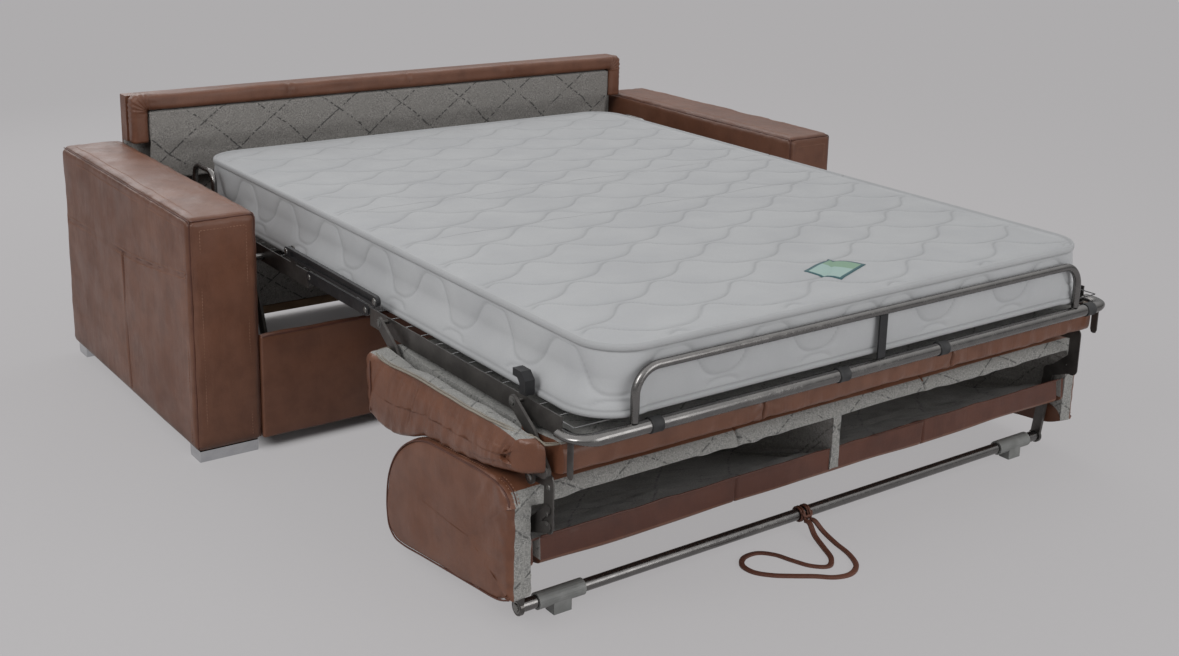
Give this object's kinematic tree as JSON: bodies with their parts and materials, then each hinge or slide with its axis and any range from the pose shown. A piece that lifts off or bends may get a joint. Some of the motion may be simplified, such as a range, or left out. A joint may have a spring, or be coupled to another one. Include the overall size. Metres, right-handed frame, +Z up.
{
  "type": "sleeper sofa",
  "caption": "Leather sleeper sofa, opened: folding bed frame with quilted mattress, hinged seat and back cushions, legs with a floor bar, guard rail and pull strap.",
  "frame": {"origin": "on the floor, under the middle of the opened sofa's bounding box", "axes": "+X to the sofa's right-hand arm as drawn, +Y towards the backrest, +Z up"},
  "size_m": [2.046, 2.1983, 0.745],
  "materials": {
    "leather": "satin pebbled leather",
    "lining": "matte heather weave",
    "mattress": "matte quilted knit",
    "steel": "satin dark paint",
    "tube": "satin grey metallic paint",
    "chrome": "polished",
    "plastic": "matte grey",
    "rubber": "matte black",
    "wood": "plain board"
  },
  "bodies": {
    "sofa_body": {"arm_right": "leather", "arm_left": "leather", "skid_foot_front_right": "chrome", "skid_foot_front_left": "chrome", "skid_foot_rear_right": "chrome", "skid_foot_rear_left": "chrome", "front_rail": "leather", "rear_rail": "wood", "back_beam": "wood", "back_roll": "leather", "back_panel": "lining", "back_lower_panel": "lining", "back_cover": "leather", "mount_plate_right": "steel", "mount_plate_left": "steel"},
    "lift_front": {"lift_arm_front_right": "steel", "lift_arm_front_left": "steel", "lift_tube_front": "tube"},
    "lift_rear": {"lift_arm_rear_right": "steel", "lift_arm_rear_left": "steel", "lift_tube_rear": "tube"},
    "head_section": {"mattress_head": "mattress", "head_rail_right": "steel", "head_rail_left": "steel", "head_net": "steel", "head_hoop_right": "steel", "head_hoop_left": "steel"},
    "middle_section": {"mattress_middle": "mattress", "middle_rail_right": "steel", "middle_rail_left": "steel", "middle_net": "steel"},
    "foot_section": {"mattress_foot": "mattress", "foot_rail_right": "steel", "foot_rail_left": "steel", "foot_net": "steel", "foot_tube": "tube", "guard_rail": "tube", "guard_strut": "steel", "corner_hook_right": "rubber", "corner_hook_left": "rubber"},
    "stay_levers": {"stay_lever_right": "steel", "stay_lever_left": "steel"},
    "seat_links_front": {"seat_link_front_right": "steel", "seat_link_front_left": "steel"},
    "seat_links_rear": {"seat_link_rear_right": "steel", "seat_link_rear_left": "steel"},
    "seat": {"seat_bar_right": "steel", "seat_bar_left": "steel", "seat_cushion": "leather"},
    "back": {"back_cushion": "leather", "leg_plate_right": "steel", "leg_plate_left": "steel", "leg_right": "steel", "leg_left": "steel", "floor_bar": "tube", "floor_pad_right": "plastic", "floor_pad_left": "plastic", "strap_knot": "leather"},
    "strap": {"pull_strap": "leather"}
  },
  "joints": [
    {"name": "lift", "type": "hinge", "parent": "sofa_body", "child": "lift_front", "pos_m": [0, 0.21159, 0.16774], "axis": [-1, 0, 0], "range_deg": [0, 98.3]},
    {"name": "rear_lift", "type": "hinge", "parent": "sofa_body", "child": "lift_rear", "pos_m": [0, 0.54159, 0.16774], "axis": [-1, 0, 0], "range_deg": [0, 98.3]},
    {"name": "head_level", "type": "hinge", "parent": "lift_front", "child": "head_section", "pos_m": [0, 0.316, 0.434], "axis": [-1, 0, 0], "range_deg": [-98.3, 0]},
    {"name": "middle_fold", "type": "hinge", "parent": "head_section", "child": "middle_section", "pos_m": [0, 0.042, 0.451], "axis": [-1, 0, 0], "range_deg": [0, 90], "deforming": ["mattress_middle"]},
    {"name": "foot_fold", "type": "hinge", "parent": "middle_section", "child": "foot_section", "pos_m": [0, -0.244, 0.451], "axis": [-1, 0, 0], "range_deg": [0, 90]},
    {"name": "stay_swing", "type": "hinge", "parent": "head_section", "child": "stay_levers", "pos_m": [0, 0.141, 0.492], "axis": [-1, 0, 0], "range_deg": [0, 180]},
    {"name": "seat_link_swing", "type": "hinge", "parent": "foot_section", "child": "seat_links_front", "pos_m": [0, -0.874, 0.452], "axis": [-1, 0, 0], "range_deg": [-97.2, 0]},
    {"name": "rear_seat_link_swing", "type": "hinge", "parent": "foot_section", "child": "seat_links_rear", "pos_m": [0, -0.344, 0.452], "axis": [-1, 0, 0], "range_deg": [-97.2, 0]},
    {"name": "seat_shift", "type": "hinge", "parent": "seat_links_front", "child": "seat", "pos_m": [0, -0.985, 0.3541], "axis": [-1, 0, 0], "range_deg": [0, 97.2]},
    {"name": "back_fold", "type": "hinge", "parent": "seat", "child": "back", "pos_m": [0, -0.944, 0.328], "axis": [-1, 0, 0], "range_deg": [0, 88]},
    {"name": "strap_swing", "type": "hinge", "parent": "back", "child": "strap", "pos_m": [0, -0.894, 0.017], "axis": [-1, 0, 0], "range_deg": [-180, 0]}
  ],
  "couplings": [
    {"joint": "rear_lift", "follows": "lift", "ratio": 1},
    {"joint": "head_level", "follows": "lift", "ratio": -1},
    {"joint": "middle_fold", "follows": "lift", "ratio": 0.91556},
    {"joint": "foot_fold", "follows": "lift", "ratio": 0.91556},
    {"joint": "stay_swing", "follows": "lift", "ratio": 1.8311},
    {"joint": "seat_link_swing", "follows": "lift", "ratio": -0.98854},
    {"joint": "rear_seat_link_swing", "follows": "lift", "ratio": -0.98854},
    {"joint": "seat_shift", "follows": "lift", "ratio": 0.98854},
    {"joint": "back_fold", "follows": "lift", "ratio": 0.8952},
    {"joint": "strap_swing", "follows": "lift", "ratio": -1.8311}
  ]
}
